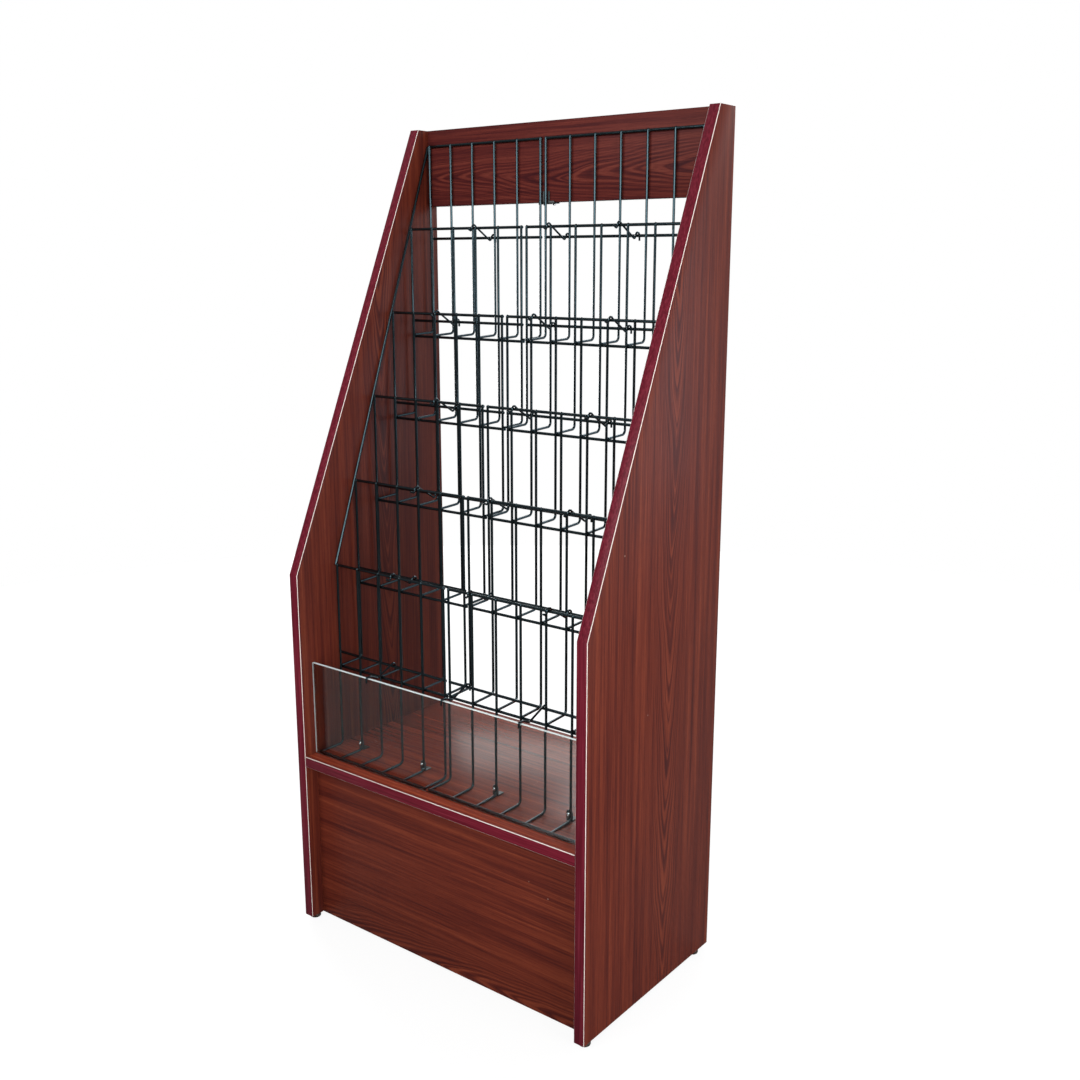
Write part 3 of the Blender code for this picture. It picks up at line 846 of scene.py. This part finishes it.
def glides(looks):
    """Round glides with a domed foot."""
    for end in ("front", "rear"):
        for side in ("left", "right"):
            node = f"glide_{end}_{side}"
            low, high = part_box(node)
            centre = (low + high) / 2
            radius = (high.x - low.x) / 2
            profile = [(0.72, 0.0), (0.86, 0.0002), (0.95, 0.0008), (1.0, 0.0018),
                       (1.0, high.z - GLIDE_TOP_EDGE), (0.96, high.z)]
            body_mesh = bmesh.new()
            rings = []
            for share, height in profile:
                ring = []
                for step in range(GLIDE_SIDES):
                    turn = 2 * math.pi * step / GLIDE_SIDES
                    reach = share * radius
                    ring.append(body_mesh.verts.new((centre.x + reach * math.cos(turn),
                                                     centre.y + reach * math.sin(turn), height)))
                rings.append(ring)
            skin(body_mesh, rings)
            make_piece(f"{node}_foot", body_mesh, [looks["glide"]], replaces=[node])


# ---------------------------------------------------------------- stage

def seen_directly(tree):
    """1 for what the camera sees straight or through the glass, 0 for light and reflections."""
    path = add(tree, "ShaderNodeLightPath").outputs
    bounces = math_node(tree, "ADD", path["Diffuse Depth"], path["Glossy Depth"])
    unbounced = fade(tree, bounces, 0.0, 1.0, 1.0, 0.0)
    through_glass = math_node(tree, "MULTIPLY", path["Is Transmission Ray"], unbounced)
    return math_node(tree, "ADD", path["Is Camera Ray"], through_glass)


def stage():
    """Pale floor, soft studio light and the camera."""
    disc = bmesh.new()
    bmesh.ops.create_circle(disc, cap_ends=True, segments=96, radius=FLOOR_RADIUS)
    floor = mesh_object("floor", disc)
    material, tree, shader = new_material("floor_white")
    shader.inputs["Base Color"].default_value = (FLOOR_TONE, FLOOR_TONE, FLOOR_TONE, 1.0)
    shader.inputs["Roughness"].default_value = 0.9
    shader.inputs["Specular IOR Level"].default_value = 0.1
    shader.inputs["Emission Color"].default_value = (1.0, 1.0, 1.0, 1.0)
    glow = mix_value(tree, seen_directly(tree), 0.0, FLOOR_GLOW)
    tree.links.new(glow, shader.inputs["Emission Strength"])
    floor.data.materials.append(material)

    world = bpy.data.worlds.new("studio")
    world.use_nodes = True
    tree = world.node_tree
    way = add(tree, "ShaderNodeTexCoord").outputs["Generated"]
    height = add(tree, "ShaderNodeSeparateXYZ", None, Vector=way).outputs["Z"]
    sky = fade(tree, height, 0.15, 1.0, HORIZON_LIGHT, ZENITH_LIGHT)
    strength = mix_value(tree, seen_directly(tree), sky, 1.0)
    tree.links.new(strength, tree.nodes["Background"].inputs["Strength"])
    tree.nodes["Background"].inputs["Color"].default_value = (1.0, 1.0, 1.0, 1.0)
    bpy.context.scene.world = world

    for name, place, target, width, height, power, colour in SOFTBOXES:
        data = bpy.data.lights.new(name, "AREA")
        data.shape = "RECTANGLE"
        data.size, data.size_y = width, height
        data.energy = power
        data.color = colour
        light = bpy.data.objects.new(name, data)
        light.visible_camera = False
        light.location = place
        light.rotation_euler = (Vector(target) - Vector(place)).to_track_quat("-Z", "Y").to_euler()
        bpy.context.scene.collection.objects.link(light)

    data = bpy.data.cameras.new("camera")
    data.lens = CAMERA_LENS
    data.sensor_width = SENSOR_WIDTH
    camera = bpy.data.objects.new("camera", data)
    camera.location = CAMERA_PLACE
    camera.rotation_euler = (math.radians(90 - CAMERA_DOWN), 0.0, math.radians(CAMERA_AZIMUTH))
    bpy.context.scene.collection.objects.link(camera)
    bpy.context.scene.camera = camera
    bpy.context.scene.view_settings.view_transform = "Standard"
    bpy.context.scene.view_settings.look = "None"


def make_looks():
    """Every material by the name of the part that wears it."""
    side_face, front = cad_high.x, cad_low.y
    kick_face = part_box("kick_panel")[0].y
    side_marks = [
        ((side_face, front + 0.075, 0.628), 0.0016),
        ((side_face, front + 0.133, 0.409), 0.0013),
    ]
    kick_marks = [
        ((0.186, kick_face, 0.176), 0.0013),
        ((0.155, kick_face, 0.190), 0.0009),
    ]
    return {
        "side": laminate("laminate_side", "Z", "Y", centre=0.028, roughness=0.37, level=0.22,
                         marks=side_marks),
        # The shelf's tint is painted light: it brightens the shelf top in place of a strong light from
        # above.
        "shelf": laminate("laminate_shelf", "X", "Y", centre=0.40, roughness=0.20, level=0.32,
                          tint_and_painted_light=(1.7, 1.5, 1.3)),
        "kick": laminate("laminate_kick", "X", "Z", centre=0.010, roughness=0.34, level=0.18,
                         marks=kick_marks),
        "back": laminate("laminate_back", "X", "Z", centre=1.085, roughness=0.38, level=0.07,
                         tint_and_painted_light=(0.86, 0.90, 1.35)),
        "chipboard": chipboard_material(),
        "edging_upright": edging_material("edging_upright", "Z"),
        "edging_level": edging_material("edging_level", "X"),
        "arris": arris_material(),
        "glass": glass_material(),
        "glass_edge": glass_edge_material(),
        "glass_foot_painted_shade": glass_foot_painted_shade_material(),
        "wire": wire_material(),
        "clip": clip_material(),
        "screw": screw_material(),
        "glide": glide_material(),
    }


looks = make_looks()
stage()
boards(looks)
edgings(looks)
glass_lip(looks)
wire_grilles(looks)
braces(looks)
dividers(looks)
clips(looks)
screws(looks)
glides(looks)
